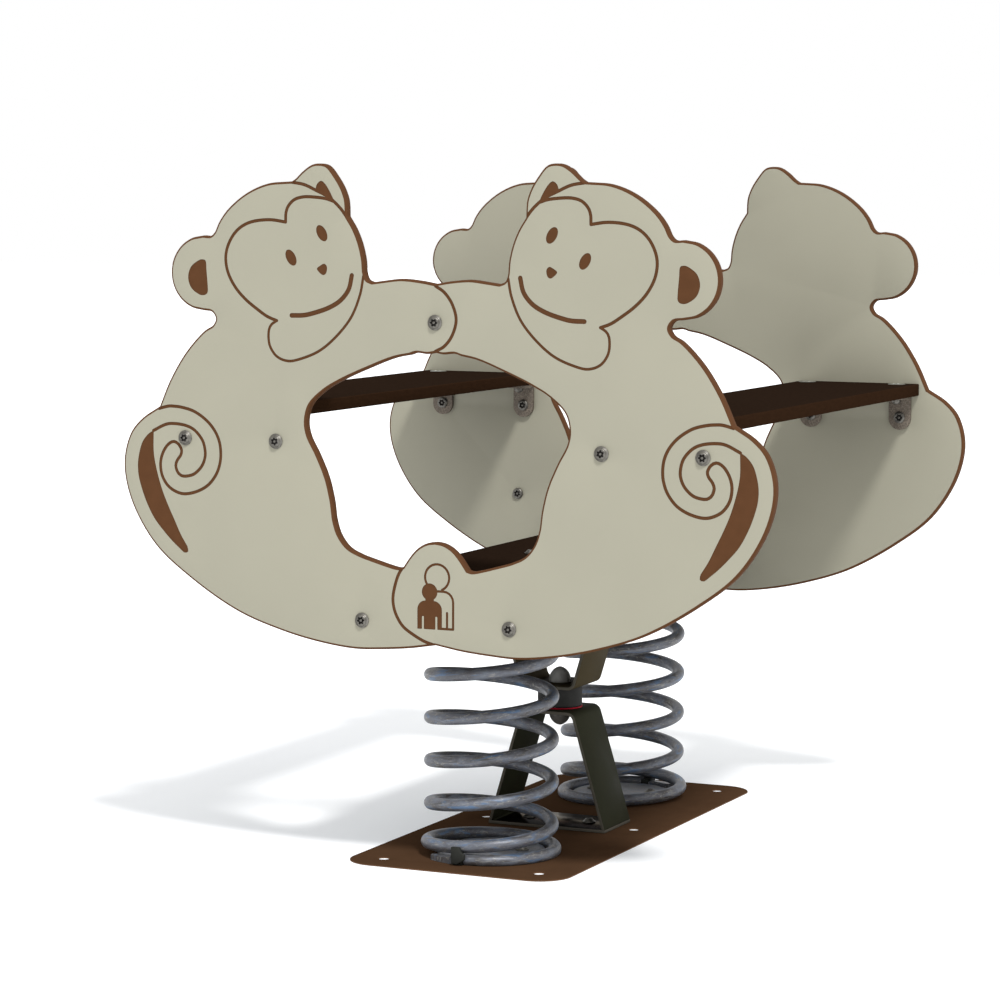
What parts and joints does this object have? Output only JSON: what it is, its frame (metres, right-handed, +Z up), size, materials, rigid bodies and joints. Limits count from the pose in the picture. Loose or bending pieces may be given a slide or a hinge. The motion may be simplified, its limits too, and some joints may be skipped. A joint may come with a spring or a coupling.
{
  "type": "seesaw",
  "caption": "Sprung playground seesaw: cut-out animal side panels, two wide bench seats and a footboard on two coil springs, a rubber buffer and a steel base plate.",
  "frame": {"origin": "middle of the base plate's underside, on the surface that the seesaw is bolted to", "axes": "+X along the rocking direction, +Y across the seesaw from the front panel to the rear panel, +Z up"},
  "size_m": [1.0226, 0.907, 1.0225],
  "materials": {
    "panel_plastic": "fine-grained beige polyethylene sheet with a brown core",
    "board_plastic": "fine-grained dark brown polyethylene sheet",
    "plate_paint": "satin brown powder coat",
    "spring_steel": "blue-grey mottled zinc coat",
    "dark_steel": "dark olive coated strip steel",
    "grey_steel": "dull galvanised steel",
    "bolt_steel": "stainless, lightly worn",
    "buffer_rubber": "matt black",
    "disc_plastic": "satin red",
    "cap_plastic": "fine-grained dark grey"
  },
  "bodies": {
    "base": {"base_plate": "plate_paint", "buffer_disc": "disc_plastic", "coil_clamp_lower_front": "dark_steel", "coil_clamp_lower_rear": "dark_steel", "front_spring": "spring_steel", "lower_cap": "cap_plastic", "lower_nut": "bolt_steel", "lower_stud": "bolt_steel", "lower_trestle": "dark_steel", "rear_spring": "spring_steel", "rubber_buffer": "buffer_rubber", "spring_disc_lower_front": "dark_steel", "spring_disc_lower_rear": "dark_steel", "trestle_bolt_left": "bolt_steel", "trestle_bolt_right": "bolt_steel"},
    "rocker": {"bolt_foot_left_front": "bolt_steel", "bolt_foot_left_rear": "bolt_steel", "bolt_foot_right_front": "bolt_steel", "bolt_foot_right_rear": "bolt_steel", "bolt_handrail_front": "bolt_steel", "bolt_handrail_rear": "bolt_steel", "bolt_seat_left_inner_front": "bolt_steel", "bolt_seat_left_inner_rear": "bolt_steel", "bolt_seat_left_outer_front": "bolt_steel", "bolt_seat_left_outer_rear": "bolt_steel", "bolt_seat_right_inner_front": "bolt_steel", "bolt_seat_right_inner_rear": "bolt_steel", "bolt_seat_right_outer_front": "bolt_steel", "bolt_seat_right_outer_rear": "bolt_steel", "bolt_spare_rear": "bolt_steel", "bracket_foot_left_front": "grey_steel", "bracket_foot_left_rear": "grey_steel", "bracket_foot_right_front": "grey_steel", "bracket_foot_right_rear": "grey_steel", "bracket_left_seat_inner_front": "grey_steel", "bracket_left_seat_inner_rear": "grey_steel", "bracket_left_seat_outer_front": "grey_steel", "bracket_left_seat_outer_rear": "grey_steel", "bracket_right_seat_inner_front": "grey_steel", "bracket_right_seat_inner_rear": "grey_steel", "bracket_right_seat_outer_front": "grey_steel", "bracket_right_seat_outer_rear": "grey_steel", "coil_clamp_upper_front": "dark_steel", "coil_clamp_upper_rear": "dark_steel", "footboard": "board_plastic", "footboard_bolt_left": "bolt_steel", "footboard_bolt_right": "bolt_steel", "front_panel": "panel_plastic", "handrail": "grey_steel", "left_seat": "board_plastic", "rear_panel": "panel_plastic", "right_seat": "board_plastic", "spring_disc_upper_front": "dark_steel", "spring_disc_upper_rear": "dark_steel", "upper_cap": "cap_plastic", "upper_nut": "bolt_steel", "upper_stud": "bolt_steel", "upper_trestle": "dark_steel"}
  },
  "joints": [
    {"name": "rock", "type": "hinge", "parent": "base", "child": "rocker", "pos_m": [0, 0, 0.205], "axis": [0, 1, 0], "range_deg": [-15, 15], "stiffness_Nm_per_rad": 900, "deforming": ["front_spring", "rear_spring", "rubber_buffer"]}
  ]
}
